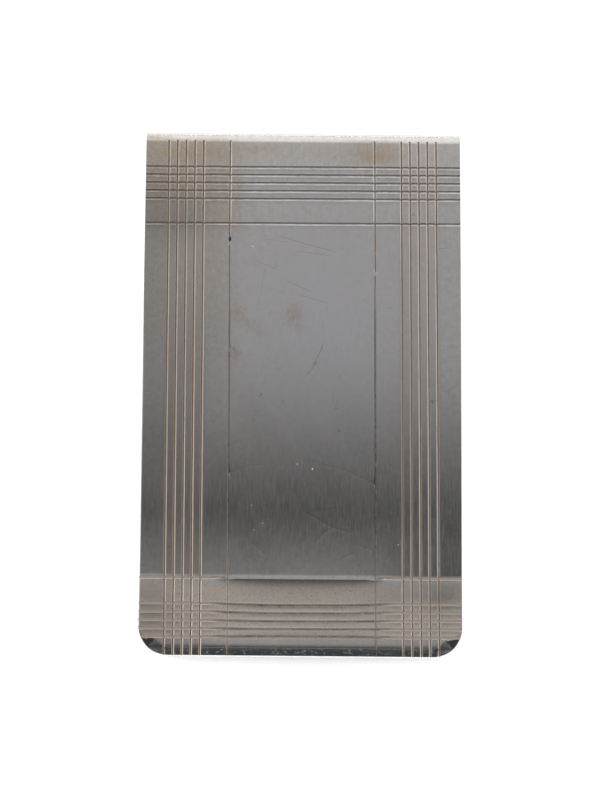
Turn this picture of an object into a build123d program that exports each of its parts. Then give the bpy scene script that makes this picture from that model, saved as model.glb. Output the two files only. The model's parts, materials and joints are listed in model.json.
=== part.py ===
from build123d import *

import math
import os

# A one-piece money clip, lying on its back leaf. Millimetres and degrees.
# +X is across the clip, +Y runs along it towards the fold, +Z is up through its thickness.
# The origin is under the middle of the clip, on the surface that it lies on.
# A leaf is described by its section: a chain of (length, turn) pieces along its outer surface,
# walked from the fold to the open end. A positive slope goes down, and a positive turn adds to it.

# Sheet and fold
WIDTH = 31.75
SHEET = 0.85
BEND_RADIUS = 1.68
SEAM_TURN = 14.0

# Engraved lines on the front leaf, measured along its outer surface
SIDE_TO_LINE = 2.41
FOLD_TO_LINE = 2.72
LINE_PITCH = 0.877
LINES_IN_BAND = 5
BAND_TO_INNER_LINE = 2.68
FIRST_LINE_TO_CREASE = 43.39
LINE_WIDTH = 0.26
LINE_DEPTH = 0.10
LINE_RUN_ON = 0.25

# Front leaf: it bows outwards, eases off before the crease, and turns back there to make the lip
ROOT_SLOPE = -2.25
BOW_SLOPE = 3.25
EASING_RUN = 6.4
CREASE_SLOPE = 1.25
LIP_SLOPE = -2.65
CREASE_ARC = 0.6
TIP_MARGIN = 1.88
CORNER_RADIUS = 3.0
BEVEL_RUN = 0.75
BEVEL_DROP = 0.22

# Back leaf: flat under the fold, then a ramp up to the nip, and a tip that turns down
FLAT_RUN = 12.0
RAMP_SLOPE = 1.93
RAMP_RADIUS = 60.0
RAMP_RUN = 29.4
CROWN_RADIUS = 16.0
TIP_SLOPE = 12.0
SHOULDER_RUN = 7.0
SHOULDER_RADIUS = 9.0
TONGUE_TIP_WIDTH = 15.0

# Clearance that the cutting tools run past the faces they cut
OVERRUN = 1.0
LIFT = 0.05

FOLD_TO_CREASE = FOLD_TO_LINE + FIRST_LINE_TO_CREASE
LIP_RUN = BAND_TO_INNER_LINE + (LINES_IN_BAND - 1) * LINE_PITCH + TIP_MARGIN
SEAM_ARC = BEND_RADIUS * math.radians(SEAM_TURN)
BEND_CENTRE = Vector(0, BEND_RADIUS)


def heading(slope):
    """Unit vector along the section towards the open end."""
    return Vector(-math.cos(math.radians(slope)), -math.sin(math.radians(slope)))


def upward(slope):
    """Unit vector square to the heading, on the upper side."""
    return Vector(-math.sin(math.radians(slope)), math.cos(math.radians(slope)))


def step(start, slope, length, turn):
    """The point and slope at the end of one piece."""
    half = math.radians(turn) / 2
    chord = length * math.sin(half) / half if turn else length
    return start + heading(slope + turn / 2) * chord, slope + turn


def station(start, slope, pieces, distance):
    """The point and slope at a distance along a chain of pieces."""
    for length, turn in pieces:
        if distance <= length:
            return step(start, slope, distance, turn * distance / length)
        start, slope = step(start, slope, length, turn)
        distance -= length
    return step(start, slope, distance, 0)


def chain_edges(start, slope, pieces, rise):
    """Edges of the curve that runs at a height of rise above a chain."""
    edges = []
    for length, turn in pieces:
        marks = [
            (start, slope),
            step(start, slope, length / 2, turn / 2),
            step(start, slope, length, turn),
        ]
        points = [point + upward(angle) * rise for point, angle in marks]
        start, slope = marks[-1]
        if turn:
            edges.append(Edge.make_three_point_arc(*points))
        else:
            edges.append(Edge.make_line(points[0], points[2]))
    return edges


def leaf_section(start, slope, pieces, rise):
    """Closed section between a leaf's outer surface and its inner one."""
    outer = chain_edges(start, slope, pieces, 0)
    inner = chain_edges(start, slope, pieces, rise)
    root = Edge.make_line(inner[0] @ 0, outer[0] @ 0)
    tip = Edge.make_line(outer[-1] @ 1, inner[-1] @ 1)
    return Face(Wire(outer + inner + [root, tip]))


def across(section, width):
    """A section pushed out by half the width to each side."""
    return extrude(Plane.YZ * section, amount=width / 2, both=True)


def line_distances(margin):
    """Distances of one border's lines from an edge: a band, then one inner line."""
    band = [margin + i * LINE_PITCH for i in range(LINES_IN_BAND)]
    return band + [band[-1] + BAND_TO_INNER_LINE]


def groove_section(point, along, up):
    """V of an engraved line, carried on a little above the surface."""
    mouth = LINE_WIDTH / 2 * (1 + LIFT / LINE_DEPTH)
    corners = [point + up * LIFT + along * side * mouth for side in (-1, 1)]
    return Face(Wire.make_polygon(corners + [point - up * LINE_DEPTH]))


# The front leaf's outer surface, from its seam on the fold to its tip
SEAM_SLOPE = ROOT_SLOPE - SEAM_TURN
SEAM_POINT = BEND_CENTRE + upward(SEAM_SLOPE) * BEND_RADIUS
FRONT_PIECES = [
    (SEAM_ARC, SEAM_TURN),
    (FOLD_TO_CREASE - EASING_RUN - CREASE_ARC / 2, BOW_SLOPE - ROOT_SLOPE),
    (EASING_RUN, CREASE_SLOPE - BOW_SLOPE),
    (CREASE_ARC, LIP_SLOPE - CREASE_SLOPE),
    (LIP_RUN - CREASE_ARC / 2, 0),
]
FRONT_LENGTH = sum(length for length, turn in FRONT_PIECES)

# The clip is centred on the origin along Y
TIP_POINT = station(SEAM_POINT, SEAM_SLOPE, FRONT_PIECES, FRONT_LENGTH)[0]
CENTRING = Pos(0, -(TIP_POINT.X + BEND_RADIUS) / 2, 0)


def front_leaf():
    """Engraved plate with a bowed face, a lip, rounded lower corners and a bevelled tip."""
    plate = across(leaf_section(SEAM_POINT, SEAM_SLOPE, FRONT_PIECES, -SHEET), WIDTH)
    lower_corners = plate.edges().filter_by(Axis.X, reverse=True).group_by(Axis.Y)[0]
    plate = fillet(lower_corners, CORNER_RADIUS)
    tip_edge = plate.edges().filter_by(Axis.X).group_by(Axis.Y)[0].sort_by(Axis.Z)[-1]
    tip_face = plate.faces().filter_by(GeomType.PLANE).sort_by(Axis.Y)[0]
    plate = chamfer(tip_edge, BEVEL_DROP, BEVEL_RUN, reference=tip_face)
    for cutter in across_lines() + long_lines():
        plate = plate - cutter
    return plate


def across_lines():
    """Cutters for the lines across the leaf: a border at each end."""
    distances = [SEAM_ARC + d for d in line_distances(FOLD_TO_LINE)]
    distances += [FRONT_LENGTH - d for d in line_distances(TIP_MARGIN)]
    cutters = []
    for distance in distances:
        point, slope = station(SEAM_POINT, SEAM_SLOPE, FRONT_PIECES, distance)
        section = groove_section(point, heading(slope), upward(slope))
        cutters.append(across(section, WIDTH + 2 * OVERRUN))
    return cutters


def long_lines():
    """Cutters for the lines along the leaf: a border at each side."""
    start, slope = station(SEAM_POINT, SEAM_SLOPE, FRONT_PIECES, SEAM_ARC - LINE_RUN_ON)
    run_on_turn = SEAM_TURN * LINE_RUN_ON / SEAM_ARC
    pieces = [(LINE_RUN_ON, run_on_turn)] + FRONT_PIECES[1:] + [(OVERRUN, 0)]
    path = Plane.YZ * Wire(chain_edges(start, slope, pieces, 0))
    section = groove_section(Vector(0, 0), Vector(1, 0), Vector(0, 1))
    square_to_path = Plane(
        origin=Vector(0, start.X, start.Y),
        x_dir=(1, 0, 0),
        z_dir=Vector(0, heading(slope).X, heading(slope).Y),
    )
    cutter = sweep(square_to_path * section, path=path)
    places = [side * (WIDTH / 2 - d) for side in (-1, 1) for d in line_distances(SIDE_TO_LINE)]
    return [Pos(x, 0, 0) * cutter for x in places]


def spring_bend():
    """The fold: a half-round of sheet that joins the leaves and springs them together."""
    low, high = Vector(0, -1), upward(SEAM_SLOPE)
    middle = Vector(1, 0)
    arcs = [
        Edge.make_three_point_arc(*[BEND_CENTRE + way * radius for way in (low, middle, high)])
        for radius in (BEND_RADIUS, BEND_RADIUS - SHEET)
    ]
    ends = [Edge.make_line(arcs[0] @ end, arcs[1] @ end) for end in (0, 1)]
    return across(Face(Wire(arcs + ends)), WIDTH)


def tongue_outline(length):
    """Plan of the back leaf: full width at the fold, tapering to a round-nosed tongue."""
    nose = TONGUE_TIP_WIDTH / 2
    top = Pos(0, -SHOULDER_RUN / 2) * Rectangle(WIDTH, SHOULDER_RUN)
    end = Pos(0, nose - length) * Circle(nose)
    plan = make_hull(top.edges() + end.edges())
    shoulders = plan.vertices().group_by(Axis.Y)[-2]
    return fillet(shoulders, SHOULDER_RADIUS)


def back_leaf():
    """Plain tongue that lies on the surface and bows up to the front leaf at the nip."""
    pieces = [
        (FLAT_RUN, 0),
        (RAMP_RADIUS * math.radians(RAMP_SLOPE), -RAMP_SLOPE),
        (RAMP_RUN, 0),
        (CROWN_RADIUS * math.radians(RAMP_SLOPE + TIP_SLOPE), RAMP_SLOPE + TIP_SLOPE),
    ]
    length = sum(piece[0] for piece in pieces)
    crown_end = station(Vector(0, 0), 0, pieces, length)[0]
    pieces.append((crown_end.Y / math.sin(math.radians(TIP_SLOPE)), 0))
    strip = across(leaf_section(Vector(0, 0), 0, pieces, SHEET), WIDTH)
    reach = -strip.bounding_box().min.Y
    return strip & extrude(tongue_outline(reach), amount=2 * BEND_RADIUS)


os.makedirs("parts", exist_ok=True)
for node in (front_leaf, spring_bend, back_leaf):
    solid = CENTRING * node()
    export_step(solid, f"parts/{node.__name__}.step")
    box = solid.bounding_box()
    print(node.__name__, round(solid.volume, 2), box.min, box.max)
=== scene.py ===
import json
import math

import bmesh
import bpy
import numpy as np
from mathutils import Matrix, Vector
from mathutils.geometry import delaunay_2d_cdt


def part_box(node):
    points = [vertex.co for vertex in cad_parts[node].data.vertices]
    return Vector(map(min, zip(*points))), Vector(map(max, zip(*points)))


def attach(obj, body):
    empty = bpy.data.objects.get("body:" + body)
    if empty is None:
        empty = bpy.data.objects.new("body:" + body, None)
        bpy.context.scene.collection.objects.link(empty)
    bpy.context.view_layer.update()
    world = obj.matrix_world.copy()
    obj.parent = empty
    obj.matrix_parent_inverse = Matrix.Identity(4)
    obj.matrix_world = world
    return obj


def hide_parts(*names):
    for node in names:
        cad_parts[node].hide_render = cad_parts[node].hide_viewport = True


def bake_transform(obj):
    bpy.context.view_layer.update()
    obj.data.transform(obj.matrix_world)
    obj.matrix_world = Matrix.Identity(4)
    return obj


# A money clip: one strip of silver sheet folded in two, with an engraved front leaf.
# Lengths are in millimetres and angles in degrees until a mesh, light or camera is made.
# x is across the clip. s runs along a leaf's outer surface from its seam with the fold,
# d runs the same way from where the bend ends, and h is the height above that surface.
MM = 0.001
SEED = 7

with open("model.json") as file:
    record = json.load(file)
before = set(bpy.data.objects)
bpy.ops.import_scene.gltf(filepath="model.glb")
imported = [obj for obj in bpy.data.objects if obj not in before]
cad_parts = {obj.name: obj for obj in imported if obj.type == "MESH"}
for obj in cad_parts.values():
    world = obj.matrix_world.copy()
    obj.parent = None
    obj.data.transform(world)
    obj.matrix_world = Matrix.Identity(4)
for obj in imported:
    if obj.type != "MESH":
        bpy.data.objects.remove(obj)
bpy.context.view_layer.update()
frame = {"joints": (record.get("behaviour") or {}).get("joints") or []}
leaf_low, leaf_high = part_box("front_leaf")
hinge = np.array(frame["joints"][0]["pos_m"][1:]) / MM
WIDTH = (leaf_high.x - leaf_low.x) / MM
HALF = WIDTH / 2
BEND_RADIUS = hinge[1]

# Sections, as the CAD has them
SHEET = 0.85
SEAM_TURN = 14.0
SEAM_ARC = BEND_RADIUS * math.radians(SEAM_TURN)
ROOT_SLOPE = -2.25
BOW_SLOPE = 3.25
EASING_RUN = 6.4
CREASE_SLOPE = 1.25
LIP_SLOPE = -2.65
FOLD_TO_CREASE = 46.11
CREASE_ARC = 0.6
LIP_RUN = 8.068
CORNER_RADIUS = 3.0
FLAT_RUN = 12.0
RAMP_SLOPE = 1.93
RAMP_RADIUS = 60.0
RAMP_RUN = 29.4
CROWN_RADIUS = 16.0
TIP_SLOPE = 12.0
SHOULDER_RUN = 7.0
SHOULDER_RADIUS = 9.0
NOSE_RADIUS = 7.5

# Engraved lines: a band of five and one inner line along each border
LINE_PITCH = 0.877
LINES_IN_BAND = 5
BAND_TO_INNER_LINE = 2.68
SIDE_TO_LINE = 2.41
FOLD_TO_LINE = 2.72
TIP_MARGIN = 1.88
LINE_WIDTH = 0.26
LINE_DEPTH = 0.10
LINE_RUN_ON = 0.25
RUN_ON_TAPER = 0.06
# The V of a groove is cut off flat at this share of its depth
GROOVE_FLOOR = 0.8
# The engraved pattern sits a little askew on the plate
PATTERN_TURN = 0.215
PATTERN_SHIFT = 0.03
# The metal that the graver turned up beside a line
BURR_HEIGHT = 0.011
BURR_OFFSET = 0.165
BURR_WIDTH = 0.032
# Where the mesh has points across a line, from its middle
PROFILE = (0.0, 0.035, 0.085, 0.13, 0.155, 0.19, 0.235)

# Wear of the long lines, from left to right: what is left of their depth and burr in the middle of
# the plate, of their depth at its foot, and of their dirt
LONG_LINE_DEPTHS = (0.9, 0.95, 0.95, 0.95, 0.9, 0.22, 0.18, 0.55, 0.65, 0.9, 0.95, 1.0)
LONG_LINE_BURRS = (0.9, 1.0, 1.0, 0.95, 0.9, 0.15, 0.05, 0.05, 0.2, 0.7, 0.9, 1.0)
LONG_LINE_FEET = (0.68, 0.71, 0.71, 0.71, 0.68, 0.38, 0.10, 0.41, 0.49, 0.68, 0.71, 0.75)
LONG_LINE_DIRT = (1.0, 1.0, 1.0, 1.0, 1.0, 0.52, 0.48, 1.0, 1.0, 1.0, 1.0, 1.0)
OUTER_BURR = 0.12
# The lip's lines, from the tip up to the crease: the dirt left in their middle, how far the middle
# bows towards the tip, and how pale its dirt is
LIP_LINE_DIRT = (0.60, 0.50, 0.60, 0.62, 0.78, 0.0)
LIP_LINE_BOWS = (-0.08, 0.04, 0.11, 0.14, 0.16, 0.0)
LIP_LINE_PALES = (0.10, 0.20, 0.15, 0.15, 0.05, 0.0)
LIP_LINE_DEPTH = 0.45
LIP_MIDDLE_DEPTH = 0.03
# Distances down the plate where the head's fresh lines wear off, where the inner lines' dirt gives
# way to tarnish, and where the foot's lines are fresher again
HEAD_WEARS = (3.5, 12)
DIRT_FADES = (11, 20)
FOOT_FRESHENS = (40, 45)
# Distances from the middle where the lip's lines are fresh again, and where their bow ends
LIP_FRESHENS = (7.5, 9.5)
LIP_BOW_ENDS = (3, 11)

# Edges of the sheet
SIDE_ROUND = 0.045
WORN_SIDE_ROUND = 0.16
UNDER_ROUND = 0.10
BEVEL_DROP = 0.22
EDGE_RINGS = (0.0, 0.015, 0.05, 0.10, 0.16, 0.28)
BEVEL_RINGS = (0.5, 0.93, 1.0, 1.07)
# Width of the bevel round a corner, at angles from the side to the tip
BEVEL_ANGLES = (10, 24, 33, 45, 60, 75, 90)
BEVEL_RUNS = (0.0, 0.20, 0.62, 1.06, 0.95, 0.82, 0.75)
BEVEL_SOFTNESS = 0.008
BEVELLED_EDGE_ROUND = 0.05
# How far the mesh stops short of the CAD's tip
TIP_GAP = 0.008

# Shape of the front face, beyond its section. Past the crease it falls in a shallow lens
DIP_DEPTH = 0.101
DIP_START = 0.13
DIP_RUN = 0.98
DIP_SIDE_RUN = 0.05
DIP_HALF_WIDTH = 8.4
DIP_POWER = 0.7
DIP_ENDS = (1.5, 7.5)
# A small ridge stands on the crease itself
RIDGE_HEIGHT = 0.013
RIDGE_PLACE = 0.05
RIDGE_WIDTH = 0.20
RIDGE_ENDS = (0.0, 1.1)
# The left border is flatter before the crease, and the right border steeper. Each sets in over
# some distance from the middle and down the plate, and both fade out down the lip
FLAT_RISE = 0.05
FLAT_FROM, FLAT_DOWN = (8, 13), (32, 44)
STEEP_FALL = 0.075
STEEP_FROM, STEEP_START, STEEP_RUN = (6, 13), 39.5, 6.5
BORDERS_END = (46.5, 54)
# The face rolls over before the tip
ROLL_FALL = 0.052
ROLL_START = 1.6
ROLL_RUN = 0.85
# The left edge is worn rounder from a third of the way down
EDGE_WEARS = (14, 26)
# Slow waves in the sheet, and how far its face lies below the CAD's, to leave room for them
WAVE_HEIGHT = 0.0022
RIPPLE_HEIGHT = 0.0012
FACE_DROP = 0.0035

# Mesh: the widest spacing of its rows and columns, the finer rows at the bend and the crease, the
# grids of the plain faces, and how near to a line's end a point may come
COLUMN_GAP = 0.45
ROW_GAP = 0.55
BEND_ROW_GAP = 0.05
CREASE_ROW_GAP = 0.06
UNDER_GAP = 1.6
TONGUE_GAP = 0.8
CLEARANCE = 0.02
# Rings of points round a small mark: their radius as a share of its own, and their number
MARK_RINGS = ((0.0, 1), (0.6, 6), (1.2, 8), (2.0, 10))
SHARP_ANGLE = 62
# The tongue's noise starts this far from the front leaf's
TONGUE_SHIFT = 60
# A broken row of pits, outside the end of the bend
PIT_ROW = 0.95


def heading(slope):
    """Unit vector (y, z) along a section, towards the open end."""
    angle = np.radians(slope)
    return np.stack([-np.cos(angle), -np.sin(angle)], -1)


def upward(slope):
    """Unit vector (y, z) square to the heading, on the upper side."""
    angle = np.radians(slope)
    return np.stack([-np.sin(angle), np.cos(angle)], -1)


def smooth(value, low, high):
    """0 below low, 1 above high, and a soft step between them."""
    t = np.clip((value - low) / (high - low), 0, 1)
    return t * t * (3 - 2 * t)


class Section:
    """A leaf's outer surface: a chain of (length, turn) pieces."""

    def __init__(self, start, slope, pieces):
        self.starts, self.slopes, self.stops = [np.array(start)], [slope], [0.0]
        self.lengths = np.array([length for length, turn in pieces])
        self.turns = np.array([turn for length, turn in pieces])
        for length, turn in pieces:
            half = math.radians(turn) / 2
            chord = length * float(np.sinc(half / math.pi))
            self.starts.append(self.starts[-1] + heading(self.slopes[-1] + turn / 2) * chord)
            self.slopes.append(self.slopes[-1] + turn)
            self.stops.append(self.stops[-1] + length)
        self.length = self.stops[-1]
        self.starts, self.slopes = np.array(self.starts), np.array(self.slopes)

    def place(self, x, s, h):
        """Points in the clip's frame, in millimetres."""
        piece = np.clip(np.searchsorted(self.stops, s, "right") - 1, 0, len(self.lengths) - 1)
        along = s - np.array(self.stops)[piece]
        turn = self.turns[piece] * along / self.lengths[piece]
        chord = along * np.sinc(np.radians(turn) / 2 / math.pi)
        yz = self.starts[piece] + heading(self.slopes[piece] + turn / 2) * chord[:, None]
        yz = yz + upward(self.slopes[piece] + turn) * h[:, None]
        return np.column_stack([x, yz])


SEAM_SLOPE = ROOT_SLOPE - SEAM_TURN
front = Section(
    hinge + upward(SEAM_SLOPE) * BEND_RADIUS,
    SEAM_SLOPE,
    [
        (SEAM_ARC, SEAM_TURN),
        (FOLD_TO_CREASE - EASING_RUN - CREASE_ARC / 2, BOW_SLOPE - ROOT_SLOPE),
        (EASING_RUN, CREASE_SLOPE - BOW_SLOPE),
        (CREASE_ARC, LIP_SLOPE - CREASE_SLOPE),
        (LIP_RUN - CREASE_ARC / 2, 0),
    ],
)
crown_pieces = [
    (FLAT_RUN, 0),
    (RAMP_RADIUS * math.radians(RAMP_SLOPE), -RAMP_SLOPE),
    (RAMP_RUN, 0),
    (CROWN_RADIUS * math.radians(RAMP_SLOPE + TIP_SLOPE), RAMP_SLOPE + TIP_SLOPE),
]
bend_end = np.array([hinge[0], 0.0])
crown = Section(bend_end, 0.0, crown_pieces)
back = Section(
    bend_end,
    0.0,
    crown_pieces + [(crown.starts[-1][1] / math.sin(math.radians(TIP_SLOPE)), 0)],
)

SKEW = math.tan(math.radians(PATTERN_TURN))
FRONT_REACH = front.length - SEAM_ARC
PLATE_LENGTH = front.length - TIP_GAP


def across_pattern(x, d):
    """Distance across the engraved pattern, from its middle line."""
    return x - PATTERN_SHIFT - SKEW * (d - FRONT_REACH / 2)


def along_pattern(x, d):
    """Distance along the engraved pattern, from the end of the bend."""
    return d + SKEW * x


def border(margin):
    """Distances of one border's lines from an edge."""
    band = [margin + i * LINE_PITCH for i in range(LINES_IN_BAND)]
    return band + [band[-1] + BAND_TO_INNER_LINE]


long_lines = sorted(side * (HALF - m) for side in (-1, 1) for m in border(SIDE_TO_LINE))
head_lines = border(FOLD_TO_LINE)
lip_lines = [FRONT_REACH - m for m in border(TIP_MARGIN)]


def wander(t, number, amount):
    """A slow, seeded variation along a line."""
    phases = np.random.default_rng([SEED, number]).uniform(0, 2 * math.pi, 4)
    waves = [np.sin(t * pitch + phase) for pitch, phase in zip((0.31, 0.83, 1.9, 4.3), phases)]
    return amount * sum(waves) / 4


def burr(offset):
    """Share of the full burr at an offset outwards from the middle of a line."""
    return np.exp(-(((offset - BURR_OFFSET) / BURR_WIDTH) ** 2))


def tent(offset, reach, peak=1.0, top=1.0):
    """A band along a line: it peaks in the middle, falls by 1 over a reach, and is cut at top."""
    return np.clip(peak - np.abs(offset) / reach, 0, top)


def groove(offset):
    """Share of a line's full depth at an offset from its middle."""
    return tent(offset, LINE_WIDTH / 2, top=GROOVE_FLOOR)


def engraving(x, d):
    """The engraved lines: depth and burr in millimetres, and their dirt, paleness and tarnish."""
    p, q = across_pattern(x, d), along_pattern(x, d)
    marks = {key: np.zeros_like(x) for key in ("depth", "burr", "dirt", "pale", "tarnish")}

    def add(**values):
        for key, value in values.items():
            marks[key] = np.maximum(marks[key], value)

    def add_dirt(amount, pale):
        marks["pale"] = np.where(amount > marks["dirt"], pale, marks["pale"])
        add(dirt=amount)

    run_on = smooth(d, -LINE_RUN_ON, -LINE_RUN_ON + RUN_ON_TAPER)
    head, foot = 1 - smooth(d, *HEAD_WEARS), smooth(d, *FOOT_FRESHENS)
    faded = smooth(d, *DIRT_FADES)
    for number, line in enumerate(long_lines):
        # measured away from the middle of the plate, because the inner wall of each line is clean
        offset = (p - line - wander(q, number, 0.010)) * math.copysign(1, line)
        fresh = np.maximum(head, LONG_LINE_FEET[number] * foot)
        depth = fresh + (1 - fresh) * LONG_LINE_DEPTHS[number]
        inner = fresh + (1 - fresh) * LONG_LINE_BURRS[number]
        outer = fresh + (1 - fresh) * OUTER_BURR * LONG_LINE_BURRS[number]
        lost = faded * (1 - LONG_LINE_DIRT[number])
        add(
            depth=depth * (1 + wander(q, number + 40, 0.15)) * run_on * groove(offset),
            burr=run_on * (inner * burr(-offset) + outer * burr(offset)),
            dirt=run_on * (1 - lost) * tent(offset - 0.03, 0.12, top=0.8),
            tarnish=1.6 * lost * (1 - 0.3 * foot) * tent(offset, 0.12, peak=1.15),
        )
    for number, line in enumerate(head_lines):
        # the graver leaned, so that dirt stays on the wall next to the fold
        offset = q - line - wander(p, number + 20, 0.010)
        add(
            depth=(1 + wander(p, number + 60, 0.15)) * groove(offset),
            burr=0.5 * burr(offset),
            dirt=0.8 * tent(offset + 0.045, 0.085, top=0.8),
        )
    side = smooth(np.abs(p), *LIP_FRESHENS)
    middle = 1 - smooth(np.abs(p), *LIP_BOW_ENDS)
    for number, line in enumerate(lip_lines):
        # packed with pale dirt at the sides, and almost worn away and tarnished in the middle
        offset = q - line - LIP_LINE_BOWS[number] * middle - wander(p, number + 30, 0.012)
        depth = LIP_LINE_DEPTH * (side + LIP_MIDDLE_DEPTH * (1 - side))
        left = side + (1 - side) * LIP_LINE_DIRT[number]
        worn = (1 - side) * (left > 0)
        broken = np.clip(0.88 + wander(p * 2.3, number + 90, 0.30), 0.66, 1)
        packed = (left > 0) * (0.45 + 0.55 * left) * (side + 0.55 * (1 - side) * broken)
        filled = packed * tent(offset, LINE_WIDTH / 2, peak=1.42)
        add_dirt(filled, np.maximum(side, LIP_LINE_PALES[number]))
        edges = (0.15 + 0.25 * side) * burr(-offset) + 0.38 * side * burr(offset)
        add(
            depth=depth * (1 + wander(p, number + 70, 0.2)) * groove(offset),
            burr=edges + 0.12 * worn * np.exp(-(((offset + 0.15) / 0.09) ** 2)),
            tarnish=(0.46 + 0.52 * LIP_LINE_DIRT[number]) * worn * tent(offset, 0.15, peak=1.2),
        )
    # dirt under the ends of the crease's ridge
    below = tent(d - FOLD_TO_CREASE - 0.15, 0.09, peak=1.1)
    add_dirt(0.62 * smooth(np.abs(p), 5.5, 7.5) * (1 - side) * below, 0)
    marks["burr"] *= BURR_HEIGHT * (1 - smooth(marks["depth"], 0.0, 0.3))
    marks["depth"] *= LINE_DEPTH
    return marks


# Fine scratches, each a few (x, d) points on the front leaf, with a strength
SCRATCHES = [
    (0.9, [(-2.2, 10.3), (0.3, 11.1), (2.9, 11.8)]),
    (0.5, [(-3.7, 10.6), (-1.8, 10.9)]),
    (0.6, [(-0.3, 11.9), (2.7, 12.3)]),
    (0.5, [(-4.6, 13.0), (-2.9, 13.7)]),
    (0.7, [(-1.5, 15.2), (0.8, 16.2)]),
    (0.5, [(0.0, 16.7), (2.4, 17.4)]),
    (0.3, [(-3.7, 13.8), (-4.4, 17.4)]),
    (0.9, [(0.5, 25.1), (1.1, 24.3), (1.4, 23.6), (2.1, 21.9)]),
    (1.0, [(-0.5, 37.5), (0.3, 39.3), (2.9, 40.8), (4.9, 41.4)]),
    (0.9, [(5.0, 41.3), (4.1, 39.9), (3.3, 39.2)]),
    (1.0, [(1.4, 42.5), (2.1, 41.6), (3.4, 40.7), (3.9, 39.5)]),
    (0.7, [(2.5, 38.4), (3.7, 38.5)]),
    (0.7, [(1.0, 39.3), (3.3, 39.0)]),
    (0.5, [(1.7, 34.4), (4.4, 35.0), (7.0, 36.3)]),
    (0.5, [(-6.9, 35.3), (-5.2, 34.6), (-3.9, 34.5)]),
    (0.5, [(5.7, 43.4), (5.5, 44.2), (5.9, 45.4)]),
    (0.8, [(4.1, 44.0), (5.0, 43.6)]),
    (0.5, [(5.8, 42.8), (6.8, 43.1)]),
    (0.6, [(-4.7, 42.6), (-3.6, 43.6)]),
    (0.9, [(6.0, 49.6), (6.6, 49.3), (7.1, 48.9)]),
]
SCRATCH_WIDTH = 0.045
SCRATCH_DEPTH = 0.0007
SCRATCH_STEP = 0.12

# Small marks: (x, d, half width, half length, strength)
DUST = [
    (-0.4, 34.4, 0.045, 0.045, 0.7),
    (1.1, 34.9, 0.055, 0.055, 0.75),
    (-5.0, 11.4, 0.06, 0.06, 0.6),
    (7.5, 14.2, 0.05, 0.05, 0.6),
    (7.3, 12.0, 0.05, 0.05, 0.5),
    (-4.9, 38.7, 0.05, 0.05, 0.4),
    (-4.6, 41.2, 0.05, 0.05, 0.3),
    (-3.8, 40.5, 0.05, 0.05, 0.4),
    (9.6, 42.6, 0.045, 0.045, 0.55),
]
INK = [(-7.3, 10.6, 0.16, 0.30, 1.0)]
STAINS = [
    (-12.3, 1.3, 4.2, 1.1, 0.62),
    (-9.0, 1.2, 2.4, 1.0, 0.50),
    (7.6, 1.4, 2.0, 0.9, 0.55),
    (2.0, 1.0, 5.0, 0.7, 0.14),
    (-5.5, 0.7, 3.5, 0.5, 0.40),
    (-13.0, 4.6, 3.2, 2.2, 0.34),
    (-0.9, 18.7, 0.8, 1.0, 0.50),
    (-0.4, 19.9, 0.4, 0.5, 0.35),
    (-6.4, 18.6, 0.7, 1.0, 0.45),
    (-5.2, 19.8, 1.0, 0.6, 0.35),
    (-4.2, 20.6, 0.5, 0.5, 0.30),
    (-6.6, 23.0, 0.5, 0.7, 0.50),
    (-6.8, 22.4, 0.16, 0.16, 0.80),
    (1.3, 23.9, 0.17, 0.15, 0.80),
]
# The last of them are specks, small enough to need mesh points of their own
STAIN_SPECKS = 2

# Large patches, in the same form: grey patches that darken the silver, and a faint cool tint
DARKER_PATCHES = [
    (-14.5, 8.0, 4.5, 4.0, 0.22),
    (-11.5, 8.4, 2.6, 2.0, 0.13),
    (-15.4, 20.0, 2.4, 13.0, 0.20),
    (-11.5, 22.0, 2.6, 9.0, 0.12),
    (-14.5, 50.5, 3.0, 3.5, 0.26),
    (-15.0, 34.5, 2.6, 5.5, 0.14),
    (13.8, 47.9, 2.8, 1.9, 0.40),
    (9.0, 48.0, 3.0, 1.9, 0.18),
    (13.8, 52.0, 3.0, 2.5, 0.14),
    (2.5, 51.6, 7.0, 2.4, 0.12),
    (-15.0, 48.5, 2.0, 2.5, 0.10),
    (14.5, 49.0, 2.0, 2.0, 0.10),
]
COOL = [(2.0, 20.0, 9.0, 12.0, 1.0)]
# Film on the faces that aren't seen: under the front leaf, and elsewhere
UNDER_FILM = 0.3
PLAIN_FILM = 0.35


def spots(x, d, marks):
    """Soft round marks, of which the strongest shows where they overlap."""
    total = np.zeros_like(x)
    for cx, cd, rx, rd, strength in marks:
        spot = np.exp(-(((x - cx) / rx) ** 2) - ((d - cd) / rd) ** 2)
        total = np.maximum(total, strength * spot)
    return total


def patches(x, d, marks):
    """Soft round marks, which add up where they overlap."""
    return sum(spots(x, d, [mark]) for mark in marks)


def segment_distance(x, y, a, b):
    """Distance of points from the segment a to b."""
    ab = np.subtract(b, a)
    t = np.clip(((x - a[0]) * ab[0] + (y - a[1]) * ab[1]) / (ab @ ab), 0, 1)
    return np.hypot(x - a[0] - ab[0] * t, y - a[1] - ab[1] * t)


def scratched(x, d):
    """Strength of the fine scratches."""
    total = np.zeros_like(x)
    for strength, points in SCRATCHES:
        for a, b in zip(points, points[1:]):
            near = 1 - segment_distance(x, d, a, b) / SCRATCH_WIDTH
            total = np.maximum(total, strength * np.clip(near, 0, 1))
    return total


def edge_distance(points, outline, inward):
    """Distance of each point from the free part of an outline, where inward isn't zero."""
    best = np.full(len(points), np.inf)
    free = inward.any(axis=1)
    for i in np.flatnonzero(free & np.roll(free, 1)):
        gap = segment_distance(points[:, 0], points[:, 1], outline[i - 1], outline[i])
        best = np.minimum(best, gap)
    return best


def round_drop(distance, radius):
    """Fall of a rounded edge at a distance in from it."""
    t = np.clip(distance / radius, 0, 1)
    return radius * (1 - np.sqrt(1 - (1 - t) ** 2))


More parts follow.
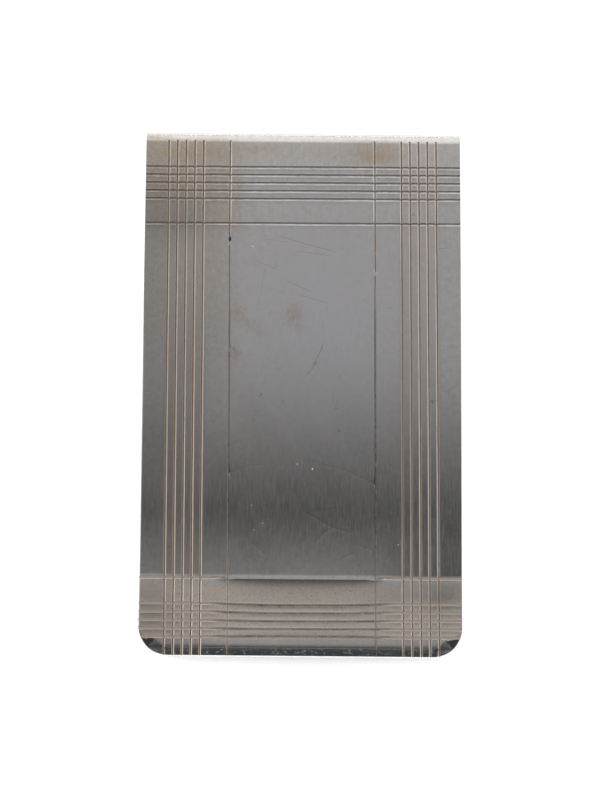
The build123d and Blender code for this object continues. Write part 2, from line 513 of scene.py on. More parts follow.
def triangulate(outline, inside):
    """Triangles over an outline's points and the points inside it."""
    points = np.vstack([outline, inside])
    count = len(outline)
    loop = [(i, (i + 1) % count) for i in range(count)]
    found = delaunay_2d_cdt([Vector(p) for p in points], loop, [], 1, 1e-6)
    source = np.array([origin[0] for origin in found[3]])
    return points, source[np.array(found[2])]


def make_object(name, points, faces, layers):
    """A closed mesh object, from points in millimetres, with its surface data."""
    mesh = bpy.data.meshes.new(name)
    mesh.from_pydata((points * MM).tolist(), [], [list(map(int, face)) for face in faces])
    for key, values in layers.items():
        kind, field = ("FLOAT_VECTOR", "vector") if values.ndim == 2 else ("FLOAT", "value")
        layer = mesh.attributes.new(key, kind, "POINT")
        layer.data.foreach_set(field, values.astype(np.float32).ravel())
    shape = bmesh.new()
    shape.from_mesh(mesh)
    bmesh.ops.recalc_face_normals(shape, faces=shape.faces)
    shape.to_mesh(mesh)
    shape.free()
    mesh.shade_smooth()
    mesh.set_sharp_from_angle(angle=math.radians(SHARP_ANGLE))
    made = bpy.data.objects.new(name, mesh)
    bpy.context.scene.collection.objects.link(made)
    return made


def make_leaf(name, section, outline, upper, lower, paint):
    """A leaf between two surfaces. Each is given as its inside points and a height function."""
    points, faces, heights, count = [], [], [], 0
    for inside, height in (upper, lower):
        flat, triangles = triangulate(outline, inside)
        points.append(flat)
        heights.append(height(flat))
        faces += (triangles + count).tolist()
        count += len(flat)
    lower_start = len(points[0])
    for i in range(len(outline)):
        j = (i + 1) % len(outline)
        faces.append([i, j, lower_start + j, lower_start + i])
    flat, h = np.vstack(points), np.concatenate(heights)
    layers = paint(flat[:, 0], flat[:, 1], h)
    return make_object(name, section.place(flat[:, 0], flat[:, 1], h), faces, layers)


def ticks(low, high, lines, gap):
    """Positions from low to high that follow the lines' profile and fill the spaces between."""
    fixed = {low, high} | {line + side * t for line in lines for t in PROFILE for side in (-1, 1)}
    fixed = sorted(t for t in fixed if low <= t <= high)
    made = []
    for a, b in zip(fixed, fixed[1:]):
        steps = max(1, math.ceil((b - a) / gap))
        made += [a + (b - a) * i / steps for i in range(steps)]
    return np.array(made + [high])


def ring_points(outline, inward, offsets):
    """Copies of an outline's free part, moved in by each offset."""
    free = inward.any(axis=1)
    return [outline[free] + inward[free] * np.reshape(offset, (-1, 1)) for offset in offsets]


# Front leaf: positions of the mesh's lines, in the pattern's own directions
columns = ticks(-HALF - 0.3, HALF + 0.3, long_lines, COLUMN_GAP)
head_rows = ticks(-SEAM_ARC - 0.1, 0.15, [], BEND_ROW_GAP)
crease_rows = ticks(FOLD_TO_CREASE - 0.5, FOLD_TO_CREASE + 1.0, [], CREASE_ROW_GAP)
rows = ticks(0.2, FRONT_REACH + 0.1, head_lines + lip_lines, ROW_GAP)
rows = rows[(rows < crease_rows[0] - CLEARANCE) | (rows > crease_rows[-1] + CLEARANCE)]
rows = np.sort(np.concatenate([head_rows, rows, crease_rows]))


def between(low, values, high):
    """The values inside a range, with the range's own ends added."""
    inside = values[(values > low + CLEARANCE) & (values < high - CLEARANCE)]
    return np.concatenate([[low], inside, [high]])


def front_outline():
    """Outline of the front leaf in (x, s), and the inward direction at each point."""
    foot = PLATE_LENGTH - CORNER_RADIUS
    inner = HALF - CORNER_RADIUS
    turns = np.radians(np.arange(1.5, 90, 1.5))
    cos, sin = np.cos(turns), np.sin(turns)
    left_s = between(0.0, rows + SKEW * HALF + SEAM_ARC, foot)
    right_s = between(0.0, rows - SKEW * HALF + SEAM_ARC, foot)
    tip_x = between(-inner, columns + PATTERN_SHIFT + SKEW * FRONT_REACH / 2, inner)
    seam_x = columns + PATTERN_SHIFT - SKEW * FRONT_REACH / 2
    seam_x = seam_x[np.abs(seam_x) < HALF - WORN_SIDE_ROUND - CLEARANCE]
    rings = np.array(EDGE_RINGS[1:])
    seam_x = np.concatenate([rings - HALF, seam_x, HALF - rings[::-1]])
    # each run has its x and s, and the inward direction along both
    runs = [
        (np.full(len(left_s), -HALF), left_s, 1, 0),
        (-inner - CORNER_RADIUS * cos, foot + CORNER_RADIUS * sin, cos, -sin),
        (tip_x, np.full(len(tip_x), PLATE_LENGTH), 0, -1),
        (inner + CORNER_RADIUS * sin, foot + CORNER_RADIUS * cos, -sin, -cos),
        (np.full(len(right_s), HALF), right_s[::-1], -1, 0),
        (seam_x[::-1], np.zeros(len(seam_x)), 0, 0),
    ]
    table = np.hstack([np.broadcast_arrays(*run) for run in runs]).T.astype(float)
    return table[:, :2], table[:, 2:]


def bevel_size(x, s):
    """Width and drop of the tip's bevel nearest to each point."""
    angle = np.degrees(np.arctan2(s - (front.length - CORNER_RADIUS),
                                  np.maximum(np.abs(x) - (HALF - CORNER_RADIUS), 0)))
    run = np.interp(angle, BEVEL_ANGLES, BEVEL_RUNS)
    return run, run * BEVEL_DROP / BEVEL_RUNS[-1]


front_edge, front_inward = front_outline()


def face_shape(x, d):
    """Height of the front face above its section, before its lines, marks and edges."""
    past = np.maximum(d - FOLD_TO_CREASE - DIP_START, 0)
    lens = np.clip(1 - (x / DIP_HALF_WIDTH) ** 2, 0, 1) ** DIP_POWER
    dip = DIP_DEPTH * lens * (1 - np.exp(-past / (DIP_RUN * lens + DIP_SIDE_RUN)))
    dip = dip * (1 - smooth(past, *DIP_ENDS))
    over = d - FOLD_TO_CREASE - RIDGE_PLACE
    ridge = RIDGE_HEIGHT * np.exp(-((np.minimum(over, 0) / RIDGE_WIDTH) ** 2))
    ridge = ridge * (1 - smooth(over, *RIDGE_ENDS))
    ending = 1 - smooth(d, *BORDERS_END)
    flat = FLAT_RISE * smooth(-x, *FLAT_FROM) * smooth(d, *FLAT_DOWN) * ending
    setting_in = np.clip((d - STEEP_START) / STEEP_RUN, 0, 1) ** 2
    steep = STEEP_FALL * smooth(x, *STEEP_FROM) * setting_in * ending
    roll = ROLL_FALL * np.clip(d - (FRONT_REACH - ROLL_START), 0, ROLL_RUN) ** 2
    wave = WAVE_HEIGHT * np.sin(x * 0.62 + 1.0) * np.sin(d * 0.41 + 0.6)
    wave = wave + RIPPLE_HEIGHT * np.sin(x * 1.3 - d * 0.5 + 2.0)
    return wave * smooth(d, 0.5, 4) - dip - roll - steep + flat + ridge


def front_top(points):
    """Height of the front leaf's engraved face above its outer surface."""
    x, s = points.T
    d = s - SEAM_ARC
    gap = edge_distance(points, front_edge, front_inward)
    marks = engraving(x, d)
    worn = smooth(d, *EDGE_WEARS) * (x < 0)
    side = SIDE_ROUND + (WORN_SIDE_ROUND - SIDE_ROUND) * worn
    side = np.where(d > FRONT_REACH - CORNER_RADIUS, SIDE_ROUND, side)
    run, drop = bevel_size(x, s)
    bevelled = run > BEVELLED_EDGE_ROUND
    slope = np.clip(1 - gap / np.maximum(run, 1e-3), -1, 1) * drop
    bevel = np.where(bevelled, (slope + np.sqrt(slope ** 2 + BEVEL_SOFTNESS ** 2)) / 2, 0)
    edge = round_drop(gap, np.where(bevelled, BEVELLED_EDGE_ROUND, side))
    body = face_shape(x, d) + marks["burr"] - BURR_HEIGHT - FACE_DROP
    cut = marks["depth"] + SCRATCH_DEPTH * scratched(x, d)
    return body * smooth(d, -SEAM_ARC, 0) - cut - edge - bevel


def plain_face(points, outline, inward, height, sign):
    """Height of a plain face with a small rounding at its edges."""
    return height + sign * round_drop(edge_distance(points, outline, inward), UNDER_ROUND)


def film_cover(x, d, p):
    """Cover of the brown film: thickest at the head, in the upper left corner and on the lip."""
    left = 0.6 * smooth(-p, 5, 9) * (1 - smooth(d, 14, 40))
    head = 0.35 + 0.65 * smooth(-x, 6, 9) + 0.65 * np.exp(-(((x - 7) / 2.8) ** 2))
    head = head * (1 - smooth(d, 1.6, 3.0))
    upper_left = 0.85 * smooth(-p, 4, 8) * (1 - smooth(d, 7, 14))
    lip = smooth(d, FOLD_TO_CREASE, FOLD_TO_CREASE + 1.2) * (0.95 - 0.25 * smooth(x, 6, 12))
    lip = lip * (1 - smooth(d, FRONT_REACH - 2.0, FRONT_REACH - 0.8))
    return np.clip(np.maximum.reduce([left, head, upper_left, lip, np.full_like(x, 0.10)]), 0, 1)


def paint_front(x, s, h):
    """Surface data of the front leaf."""
    d = s - SEAM_ARC
    p = across_pattern(x, d)
    marks = engraving(x, d)
    # the cut edges of the sheet are clean
    edges = edge_distance(np.column_stack([x, s]), front_edge, front_inward)
    clean = smooth(edges, 0.0, 0.03)
    # the graver left a bright dot where each long line starts, on the bend
    dots = [np.exp(-(((p - line) / 0.10) ** 2) - ((d + 0.30) / 0.07) ** 2) for line in long_lines]
    dots = 0.5 * np.maximum.reduce(dots)
    # film that clings along the band's lines, wider on the left
    halo = [np.exp(-(((p - line) / (0.24 + 0.08 * (line < 0))) ** 2)) for line in long_lines]
    halo = np.maximum.reduce(halo) * (0.95 - 0.25 * smooth(p, 0, 7))
    halo = halo * np.maximum(smooth(np.abs(p), 7.8, 8.4), 0.8 * smooth(d, 40, 45))
    values = {
        "dirt": marks["dirt"] * clean,
        "pale": marks["pale"],
        "halo": halo * clean,
        "warm": smooth(d, FOLD_TO_CREASE, FOLD_TO_CREASE + 0.8),
        "scratch": scratched(x, d),
        "dull": np.maximum(patches(x, d, DARKER_PATCHES), marks["tarnish"] * clean),
        "cool": spots(x, d, COOL),
        "stain": spots(x, d, STAINS),
        "dust": np.maximum(spots(x, d, DUST), dots),
        "ink": spots(x, d, INK),
    }
    top = h > -SHEET / 2
    layers = {key: np.where(top, value, 0) for key, value in values.items()}
    film = np.where(top, film_cover(x, d, p) * clean, UNDER_FILM)
    return {"flat": np.column_stack([x, d, h]), "film": film, **layers}


def front_inside():
    """Points inside the front leaf's outline: the pattern's own grid, edge rings and marks."""
    p, q = [axis.ravel() for axis in np.meshgrid(columns, rows)]
    x = p + PATTERN_SHIFT + SKEW * (q - FRONT_REACH / 2)
    grid = np.column_stack([x, q - SKEW * x + SEAM_ARC])
    bevel_run = bevel_size(*front_edge.T)[0]
    free = front_inward.any(axis=1)
    gap = np.minimum(HALF - np.abs(grid[:, 0]), front.length - grid[:, 1])
    corner = np.hypot(np.maximum(np.abs(grid[:, 0]) - (HALF - CORNER_RADIUS), 0),
                      np.maximum(grid[:, 1] - (front.length - CORNER_RADIUS), 0))
    gap = np.minimum(gap, CORNER_RADIUS - corner)
    run = bevel_size(*grid.T)[0]
    near_bevel = (run > 0.3) & (np.abs(gap / np.maximum(run, 0.3) - 1) < 0.13)
    grid = grid[(gap > EDGE_RINGS[-1] + 0.06) & (grid[:, 1] > 0.03) & ~near_bevel]
    made = [grid] + ring_points(front_edge, front_inward, EDGE_RINGS[1:])
    for share in BEVEL_RINGS:
        ring = front_edge + front_inward * (bevel_run * share)[:, None]
        made.append(ring[free & (bevel_run * share > EDGE_RINGS[-1] + 0.04)])
    for _, points in SCRATCHES:
        for a, b in zip(points, points[1:]):
            a, b = np.array(a) + (0, SEAM_ARC), np.array(b) + (0, SEAM_ARC)
            length = np.hypot(*(b - a))
            steps = np.linspace(0, 1, int(length / SCRATCH_STEP) + 2)[:, None]
            side = np.array([a[1] - b[1], b[0] - a[0]]) / length
            made += [a + (b - a) * steps + side * t for t in (-SCRATCH_WIDTH, 0, SCRATCH_WIDTH)]
    for cx, cd, rx, rd, _ in DUST + INK + STAINS[-STAIN_SPECKS:]:
        for reach, number in MARK_RINGS:
            turn = np.arange(number) * 2 * math.pi / number + reach
            made.append(np.column_stack([cx + rx * reach * np.cos(turn),
                                         cd + SEAM_ARC + rd * reach * np.sin(turn)]))
    made = np.vstack(made)
    return made[made[:, 1] > CLEARANCE]


def coarse_inside(outline, inward, pitch):
    """Points inside an outline for a plain face."""
    low, high = outline.min(0), outline.max(0)
    axes = [np.arange(a + pitch / 2, b, pitch) for a, b in zip(low, high)]
    grid = np.column_stack([axis.ravel() for axis in np.meshgrid(*axes)])
    inside = np.array([winding(point, outline) for point in grid])
    grid = grid[inside]
    gap = edge_distance(grid, outline, inward)
    grid = grid[(gap > 0.4) & (grid[:, 1] > low[1] + 0.2)]
    return np.vstack([grid] + ring_points(outline, inward, (0.03, UNDER_ROUND, 0.3)))


def winding(point, outline):
    """True if the outline goes round the point."""
    x, y = (outline - point).T
    crossing = (y > 0) != (np.roll(y, -1) > 0)
    reach = x - y * (np.roll(x, -1) - x) / np.where(crossing, np.roll(y, -1) - y, 1)
    return bool(np.sum(crossing & (reach > 0)) % 2)


front_plate = make_leaf(
    "front_plate",
    front,
    front_edge,
    (front_inside(), front_top),
    (
        coarse_inside(front_edge, front_inward, UNDER_GAP),
        lambda points: plain_face(points, front_edge, front_inward, -SHEET, 1),
    ),
    paint_front,
)


def tongue_outline():
    """Outline of the back leaf in (x, s): full width at the fold, tapering to a round nose."""
    stations = np.linspace(0, back.length, 2001)
    plan = hinge[0] - back.place(stations * 0, stations, stations * 0)[:, 1]
    reach = plan[-1] + SHEET * math.sin(math.radians(TIP_SLOPE))
    corner, centre = np.array([HALF, SHOULDER_RUN]), np.array([0.0, reach - NOSE_RADIUS])
    gap = corner - centre
    # the straight flank touches the nose circle where its normal has this direction
    normal = math.atan2(gap[1], gap[0]) + math.acos(NOSE_RADIUS / np.hypot(*gap))
    touch = centre + NOSE_RADIUS * np.array([math.cos(normal), math.sin(normal)])
    flank = (touch - corner) / np.hypot(*(touch - corner))
    turn = math.acos(flank[1])
    back_off = SHOULDER_RADIUS * math.tan(turn / 2)
    hub = corner + np.array([-SHOULDER_RADIUS, -back_off])
    right = [np.column_stack([np.full(8, HALF), np.linspace(0, SHOULDER_RUN - back_off, 9)[:-1]])]
    angles = np.linspace(0, turn, 16)
    right.append(hub + SHOULDER_RADIUS * np.column_stack([np.cos(angles), np.sin(angles)]))
    start = right[-1][-1]
    right.append(start + (touch - start) * np.linspace(0, 1, 60)[1:-1, None])
    angles = np.linspace(normal, math.pi / 2, 40)
    right.append(centre + NOSE_RADIUS * np.column_stack([np.cos(angles), np.sin(angles)]))
    right = np.vstack(right)
    left = right[-2::-1] * (-1, 1)
    seam = np.column_stack([np.linspace(-HALF, HALF, 40)[1:-1], np.zeros(38)])
    outline = np.vstack([right, left, seam])
    outline[:, 1] = np.interp(outline[:, 1], plan, stations)
    outline[:, 1] = np.minimum(outline[:, 1], back.length)
    ahead = np.roll(outline, -1, 0) - np.roll(outline, 1, 0)
    inward = np.column_stack([-ahead[:, 1], ahead[:, 0]])
    inward /= np.hypot(*inward.T)[:, None]
    inward[len(right) + len(left):] = 0
    inward[0] = (-1, 0)
    inward[len(right) + len(left) - 1] = (1, 0)
    return outline, inward


tongue_edge, tongue_inward = tongue_outline()
tongue_inside = coarse_inside(tongue_edge, tongue_inward, TONGUE_GAP)


def paint_plain(x, d, h):
    """Surface data of a face with no engraving."""
    none = np.zeros_like(x)
    film = np.full_like(x, PLAIN_FILM)
    keys = ("dirt", "pale", "halo", "warm", "scratch", "dull", "cool", "stain", "dust", "ink")
    layers = {key: none for key in keys}
    return {"flat": np.column_stack([x, d, h]), "film": film, **layers}


tongue = make_leaf(
    "tongue",
    back,
    tongue_edge,
    (tongue_inside, lambda points: plain_face(points, tongue_edge, tongue_inward, SHEET, -1)),
    (tongue_inside, lambda points: plain_face(points, tongue_edge, tongue_inward, 0.0, 1)),
    lambda x, s, h: paint_plain(x, s + TONGUE_SHIFT, h),
)


def make_fold():
    """The half-round of sheet between the leaves."""
    top_angle = math.degrees(math.atan2(upward(SEAM_SLOPE)[1], upward(SEAM_SLOPE)[0]))
    angles = np.radians(np.linspace(-90, top_angle, 84))
    inner = np.arange(-HALF + 0.5, HALF - 0.4, 0.5)
    edge = np.array(EDGE_RINGS)
    outer_x = np.concatenate([-HALF + edge, inner, HALF - edge[::-1]])
    inner_edge = np.array([0.0, 0.03, UNDER_ROUND])
    inner_x = np.concatenate([HALF - inner_edge, inner[::-2], -HALF + inner_edge[::-1]])
    x = np.concatenate([outer_x, inner_x])
    drop = np.where(np.arange(len(x)) < len(outer_x), -round_drop(HALF - np.abs(x), SIDE_ROUND),
                    -SHEET + round_drop(HALF - np.abs(x), UNDER_ROUND))
    points, layers = [], []
    radius = BEND_RADIUS + drop
    for angle in angles:
        points.append(np.column_stack([x, hinge[0] + radius * math.cos(angle),
                                       hinge[1] + radius * math.sin(angle)]))
        above = BEND_RADIUS * (angles[-1] - angle) + SEAM_ARC
        layers.append(np.column_stack([x, np.full(len(x), -above), drop]))
    loop, last = len(x), (len(angles) - 1) * len(x)
    faces = []
    for start in range(0, last, loop):
        for i in range(loop):
            j = (i + 1) % loop
            faces.append([start + i, start + j, start + loop + j, start + loop + i])
    faces += [list(range(loop)), [last + i for i in range(loop)]]
    x, d, h = np.vstack(layers).T
    painted = paint_plain(x, d, h)
    outer = h > -SHEET / 2
    corner = np.exp(-(((x + HALF) / 1.9) ** 2) - ((d + 0.45) / 0.4) ** 2)
    cream = 0.32 * smooth(d, -0.95, -0.45) * (1 - 0.5 * smooth(x, -9, 2))
    painted["film"] = np.where(outer, cream, PLAIN_FILM)
    painted["stain"] = np.where(outer, corner, 0)
    # painted shade: the outside of the fold, from about 1 mm round from the front leaf onwards, is
    # darkened so that it mirrors less of the bright floor
    painted["dull"] = np.where(outer, 0.36 * smooth(-d, 0.9, 1.3), 0)
    return make_object("fold", np.vstack(points), faces, painted)


fold = make_fold()


class Graph:
    """Short ways to add nodes to a node tree."""

    def __init__(self, tree):
        self.tree = tree
        self.tree.nodes.clear()

    def add(self, kind, inputs=(), **settings):
        """A node, its settings, and its inputs, each a socket or a plain value."""
        node = self.tree.nodes.new(kind)
        for key, value in settings.items():
            setattr(node, key, value)
        for key, value in dict(inputs).items():
            if isinstance(value, bpy.types.NodeSocket):
                self.tree.links.new(value, node.inputs[key])
            else:
                node.inputs[key].default_value = value
        return node

    def math(self, operation, *values):
        """One arithmetic step."""
        return self.add("ShaderNodeMath", enumerate(values), operation=operation).outputs[0]

    def times(self, a, b):
        """A product."""
        return self.math("MULTIPLY", a, b)

    def most(self, first, *others):
        """The largest of some values."""
        for other in others:
            first = self.math("MAXIMUM", first, other)
        return first

    def mix(self, factor, a, b):
        """A colour between a and b."""
        inputs = {"Factor": factor, 6: a, 7: b}
        return self.add("ShaderNodeMix", inputs, data_type="RGBA").outputs[2]

    def data(self, name):
        """One layer of a mesh's surface data."""
        return self.add("ShaderNodeAttribute", attribute_name=name).outputs

    def noise(self, vector, scale, detail, roughness=0.5):
        """Noise with its own scale along each axis."""
        inputs = {0: vector, 1: scale}
        moved = self.add("ShaderNodeVectorMath", inputs, operation="MULTIPLY").outputs[0]
        inputs = {"Vector": moved, "Scale": 1.0, "Detail": detail, "Roughness": roughness}
        return self.add("ShaderNodeTexNoise", inputs).outputs[0]

    def step(self, value, low, high, out_low=0.0, out_high=1.0):
        """A soft step from one value to another."""
        inputs = {0: value, 1: low, 2: high, 3: out_low, 4: out_high}
        kind = "ShaderNodeMapRange"
        return self.add(kind, inputs, interpolation_type="SMOOTHSTEP").outputs[0]


# Colours of the silver and of what lies on it
DARK_SILVER = (0.750, 0.743, 0.735, 1)
LIGHT_SILVER = (0.802, 0.793, 0.782, 1)
BROWN_BLOTCH = (0.64, 0.59, 0.55, 1)
GREY_BLOTCH = (0.83, 0.83, 0.87, 1)
COOL_SILVER = (0.770, 0.762, 0.795, 1)
BROWN_FILM = (0.60, 0.525, 0.455, 1)
LIP_FILM = (0.745, 0.645, 0.555, 1)
SPECKLE_BROWN = (0.30, 0.225, 0.165, 1)
STAIN_BROWN = (0.55, 0.42, 0.27, 1)
# black for the tarnish, and for the painted shade on the outside of the fold
TARNISH_AND_SHADE_BLACK = (0.03, 0.03, 0.03, 1)
HAIRLINE_GREY = (0.26, 0.245, 0.24, 1)
DARK_SOIL = (0.100, 0.070, 0.050, 1)
PALE_SOIL = (0.225, 0.185, 0.150, 1)
DUST_GREY = (0.70, 0.69, 0.66, 1)
INK_BLUE = (0.006, 0.014, 0.045, 1)
# Hairlines follow the contours of slow noise: its scale, and the level of the contour
HAIRLINES = ((0.21, 0.47), (0.33, 0.55), (0.27, 0.51), (0.45, 0.48), (0.60, 0.52))
GRAIN_RELIEF = 1.3e-6


def metal_colour(g, place, data, grain, mottle, filmed):
    """Silver with faint blotches, under its brown film, speckle, stains, tarnish and painted
    shade.
    """
    cloud = g.noise(place, (0.55, 0.35, 1.0), 4.0, 0.6)
    tone = g.step(g.math("ADD", g.times(grain, 0.6), g.times(cloud, 0.4)), 0.3, 0.7)
    metal = g.mix(tone, DARK_SILVER, LIGHT_SILVER)
    blotch = g.noise(place, (1.3, 1.1, 1.5), 6.0, 0.72)
    metal = g.mix(g.step(blotch, 0.42, 0.66, 0.0, 0.38), metal, BROWN_BLOTCH)
    metal = g.mix(g.step(blotch, 0.30, 0.50, 0.22, 0.0), metal, GREY_BLOTCH)
    metal = g.mix(data["cool"], metal, COOL_SILVER)
    metal = g.mix(filmed, metal, g.mix(data["warm"], BROWN_FILM, LIP_FILM))
    speckle = g.step(g.noise(place, (5.5, 4.0, 2.0), 4.0, 0.7), 0.53, 0.68)
    speckle = g.times(speckle, g.most(g.times(data["film"], 0.42), data["stain"]))
    metal = g.mix(speckle, metal, SPECKLE_BROWN)
    stained = g.times(data["stain"], g.step(mottle, 0.35, 0.6, 0.5, 1.0))
    metal = g.mix(stained, metal, STAIN_BROWN)
    # tarnish, and the painted shade on the outside of the fold, darken the silver towards black
    return g.mix(data["dull"], metal, TARNISH_AND_SHADE_BLACK)


def hairlines(g, place, scratch):
    """Strength of the scratches, and of long broken hairlines between them."""
    hair = scratch
    for size, level in HAIRLINES:
        slow = g.noise(place, (size, size * 1.2, 1.0), 1.0, 0.5)
        off = g.math("ABSOLUTE", g.math("SUBTRACT", slow, level))
        patch = g.noise(place, (size * 3.1, size * 2.3, 1.0), 1.0, 0.5)
        patch = g.step(patch, 0.46, 0.60, 0.0, 0.45)
        hair = g.most(hair, g.times(g.step(off, 0.0, 0.0022, 1.0, 0.0), patch))
    return hair


def packed_soil(g, place, dirt, mottle, along):
    """Where dirt fills the lines, and a broken row of pits along the outside of the fold."""
    ragged = g.times(g.math("SUBTRACT", mottle, 0.5), 0.3)
    held = g.step(g.math("ADD", dirt, ragged), 0.22, 0.55)
    off_row = g.math("ABSOLUTE", g.math("ADD", along, PIT_ROW))
    pits = g.step(g.noise(place, (5.0, 9.0, 1.0), 3.0, 0.7), 0.47, 0.55)
    pits = g.times(pits, g.step(off_row, 0.04, 0.11, 1.0, 0.0))
    return g.most(held, g.times(pits, 0.8))


def silver():
    """Satin silver with a lengthwise grain, brown film, dirt in the lines, and small marks."""
    material = bpy.data.materials.new("silver_sheet")
    material.use_nodes = True
    g = Graph(material.node_tree)
    names = "dirt scratch film stain dull cool dust ink halo pale warm".split()
    data = {name: g.data(name)["Fac"] for name in names}
    place = g.data("flat")["Vector"]
    along = g.add("ShaderNodeSeparateXYZ", {0: place}).outputs[1]
    grain = g.noise(place, (9.0, 0.45, 3.0), 5.0, 0.65)
    fine_grain = g.noise(place, (30.0, 1.6, 8.0), 3.0, 0.6)
    mottle = g.noise(place, (2.2, 1.5, 2.0), 4.0, 0.62)
    filmed = g.times(data["film"], g.step(mottle, 0.30, 0.66, 0.60, 1.0))
    filmed = g.most(filmed, data["halo"])

    metal = metal_colour(g, place, data, grain, mottle, filmed)
    hair = hairlines(g, place, data["scratch"])
    held = packed_soil(g, place, data["dirt"], mottle, along)
    inked = g.step(data["ink"], 0.25, 0.55)
    # pale nicks on the bevel at the tip
    nicks = g.step(g.noise(place, (2.6, 4.5, 2.0), 3.0, 0.7), 0.55, 0.66)
    nicks = g.times(nicks, g.step(along, FRONT_REACH - 0.78, FRONT_REACH - 0.68))
    dust = g.most(data["dust"], g.times(nicks, 0.14))

    colour = g.mix(g.times(hair, 0.72), metal, HAIRLINE_GREY)
    colour = g.mix(held, colour, g.mix(data["pale"], DARK_SOIL, PALE_SOIL))
    colour = g.mix(dust, colour, DUST_GREY)
    colour = g.mix(inked, colour, INK_BLUE)

    marked = g.most(g.times(held, 0.92), dust, inked)
    rough = g.math("ADD", g.step(grain, 0.3, 0.7, 0.13, 0.18), g.times(filmed, 0.08))
    rough = g.math("ADD", rough, g.times(hair, 0.10))
    rough = g.most(rough, g.times(marked, 0.75))
    relief = g.math("ADD", g.times(grain, 0.6), g.times(fine_grain, 0.4))
    inputs = {"Strength": 1.0, "Distance": GRAIN_RELIEF, "Height": relief}
    bump = g.add("ShaderNodeBump", inputs).outputs[0]
    inputs = {"Base Color": colour, "Roughness": rough, "Normal": bump}
    inputs["Metallic"] = g.math("SUBTRACT", 1.0, marked)
    shader = g.add("ShaderNodeBsdfPrincipled", inputs)
    g.add("ShaderNodeOutputMaterial", {0: shader.outputs[0]})
    return material


finish = silver()
for piece, node in ((front_plate, "front_leaf"), (tongue, "back_leaf"), (fold, "spring_bend")):
    piece.data.materials.append(finish)
    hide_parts(node)
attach(front_plate, "front")
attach(tongue, "back")
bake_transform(fold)

# Floor, pale and plain
FLOOR_SIZE = 3.0
edge = FLOOR_SIZE / 2
floor_mesh = bpy.data.meshes.new("floor")
corners = [(-edge, -edge, 0), (edge, -edge, 0), (edge, edge, 0), (-edge, edge, 0)]
floor_mesh.from_pydata(corners, [], [(0, 1, 2, 3)])
floor = bpy.data.objects.new("floor", floor_mesh)
bpy.context.scene.collection.objects.link(floor)
paper = bpy.data.materials.new("paper")
paper.use_nodes = True
paper_inputs = paper.node_tree.nodes["Principled BSDF"].inputs
paper_inputs["Base Color"].default_value = (0.86, 0.86, 0.86, 1)
paper_inputs["Roughness"].default_value = 0.9
paper_inputs["Emission Color"].default_value = (1, 1, 1, 1)
paper_inputs["Emission Strength"].default_value = 0.4
floor.data.materials.append(paper)

# What the metal mirrors: radiance by direction, as an angle from straight up towards +Y
MIRRORED = [
    (-90, 0.90), (-78, 0.60), (-68, 0.10), (-40, 0.06), (-10, 0.045), (-7, 0.06),
    (-2, 0.22), (4.5, 0.24), (7, 0.09), (9, 0.035), (12.2, 0.035), (13.4, 0.048),
    (14.4, 0.12), (15.0, 0.175), (15.8, 0.232), (16.7, 0.29), (17.5, 0.33), (18.3, 0.375),
    (19.3, 0.405), (21.5, 0.38), (23.0, 0.385), (24.3, 0.33), (25.6, 0.335), (26.8, 0.43),
    (28.0, 0.49), (30, 0.56), (31.5, 0.80), (33.5, 1.02), (90, 1.05),
]
# Towards the open end it is a little bluer
FRONT_TINT = (0.88, 1.0, 1.10)
TINTED_BEYOND = -5
# To the sides it is plain, from one angle off straight up to another: left and right radiance
FLANK_ANGLES = (38, 66)
FLANK_VALUES = (0.95, 0.78)
world = bpy.data.worlds.new("studio")
bpy.context.scene.world = world
world.use_nodes = True
w = Graph(world.node_tree)
direction = w.add("ShaderNodeTexCoord").outputs["Generated"]
axes = w.add("ShaderNodeSeparateXYZ", {0: direction}).outputs
lean = w.math("ARCTAN2", axes[1], axes[2])
ramp = w.add("ShaderNodeValToRGB", {0: w.math("MULTIPLY_ADD", lean, 1 / math.pi, 0.5)})
stops = ramp.color_ramp.elements
while len(stops) < len(MIRRORED):
    stops.new(0.5)
for stop, (angle, value) in zip(stops, MIRRORED):
    stop.position = (angle + 90) / 180
    stop.color = [value * (part if angle < TINTED_BEYOND else 1) for part in FRONT_TINT] + [1]
sideways = w.math("ARCTAN2", w.math("ABSOLUTE", axes[0]), axes[2])
flank = w.step(sideways, *[math.radians(angle) for angle in FLANK_ANGLES])
side_value = w.step(axes[0], -0.5, 0.5, *FLANK_VALUES)
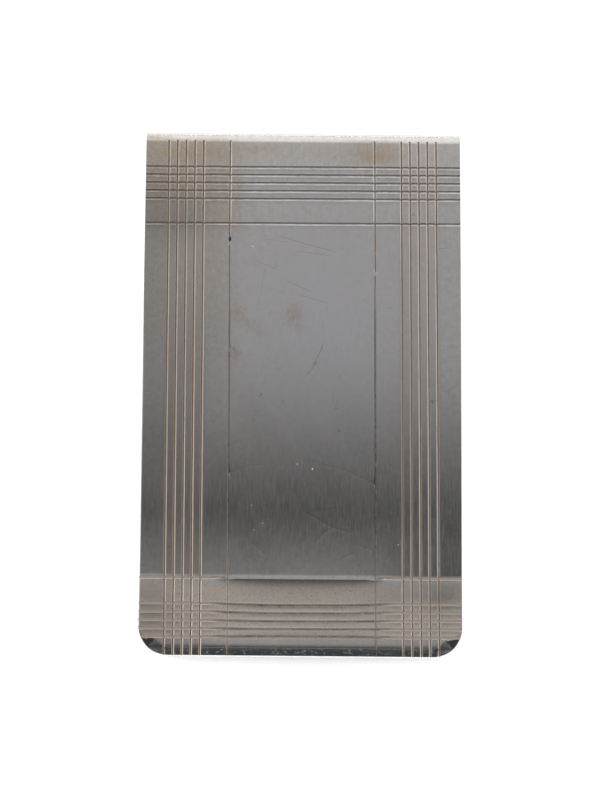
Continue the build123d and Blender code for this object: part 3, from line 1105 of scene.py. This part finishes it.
side_colour = w.add("ShaderNodeCombineColor", {0: side_value, 1: side_value, 2: side_value})
sky = w.mix(flank, ramp.outputs[0], side_colour.outputs[0])
background = w.add("ShaderNodeBackground", {0: sky, 1: 1.0})
w.tree.links.new(background.outputs[0], w.add("ShaderNodeOutputWorld").inputs[0])


def soft_light(name, place, size, power):
    """A square area light aimed at the clip, which the metal doesn't mirror."""
    lamp = bpy.data.lights.new(name, "AREA")
    lamp.size = size
    lamp.energy = power
    made = bpy.data.objects.new(name, lamp)
    made.location = place
    made.rotation_mode = "QUATERNION"
    made.rotation_quaternion = (-Vector(place)).to_track_quat("-Z", "Y")
    made.visible_glossy = False
    bpy.context.scene.collection.objects.link(made)


soft_light("overhead_softbox", (0.0, 0.1, 1.1), 1.2, 9.0)
soft_light("left_softbox", (-0.9, 0.1, 0.8), 0.8, 5.0)
soft_light("right_softbox", (0.9, -0.1, 0.8), 0.8, 4.0)

# Camera: almost straight down on the clip, from its open end
LENS = 241.29
DISTANCE = 527.69
ELEVATION = 69.74
AZIMUTH = 1.464
ROLL = 1.915
AIM = (-0.172, -0.854, 3.0)
SENSOR_WIDTH = 36.0
CLIP_START, CLIP_END = 0.02, 20.0
rise, swing, roll = (math.radians(v) for v in (ELEVATION, AZIMUTH, ROLL))
backward = Vector((
    -math.sin(swing) * math.cos(rise),
    -math.cos(swing) * math.cos(rise),
    math.sin(rise),
))
level = Vector((0, 0, 1)).cross(backward).normalized()
upright = backward.cross(level)
right_hand = level * math.cos(roll) + upright * math.sin(roll)
over_head = upright * math.cos(roll) - level * math.sin(roll)
camera = bpy.data.objects.new("camera", bpy.data.cameras.new("camera"))
camera.data.lens = LENS
camera.data.sensor_width = SENSOR_WIDTH
camera.data.clip_start, camera.data.clip_end = CLIP_START, CLIP_END
turned = Matrix((right_hand, over_head, backward)).transposed().to_4x4()
camera.matrix_world = Matrix.Translation((Vector(AIM) + backward * DISTANCE) * MM) @ turned
bpy.context.scene.collection.objects.link(camera)
bpy.context.scene.camera = camera
bpy.context.scene.view_settings.view_transform = "Standard"
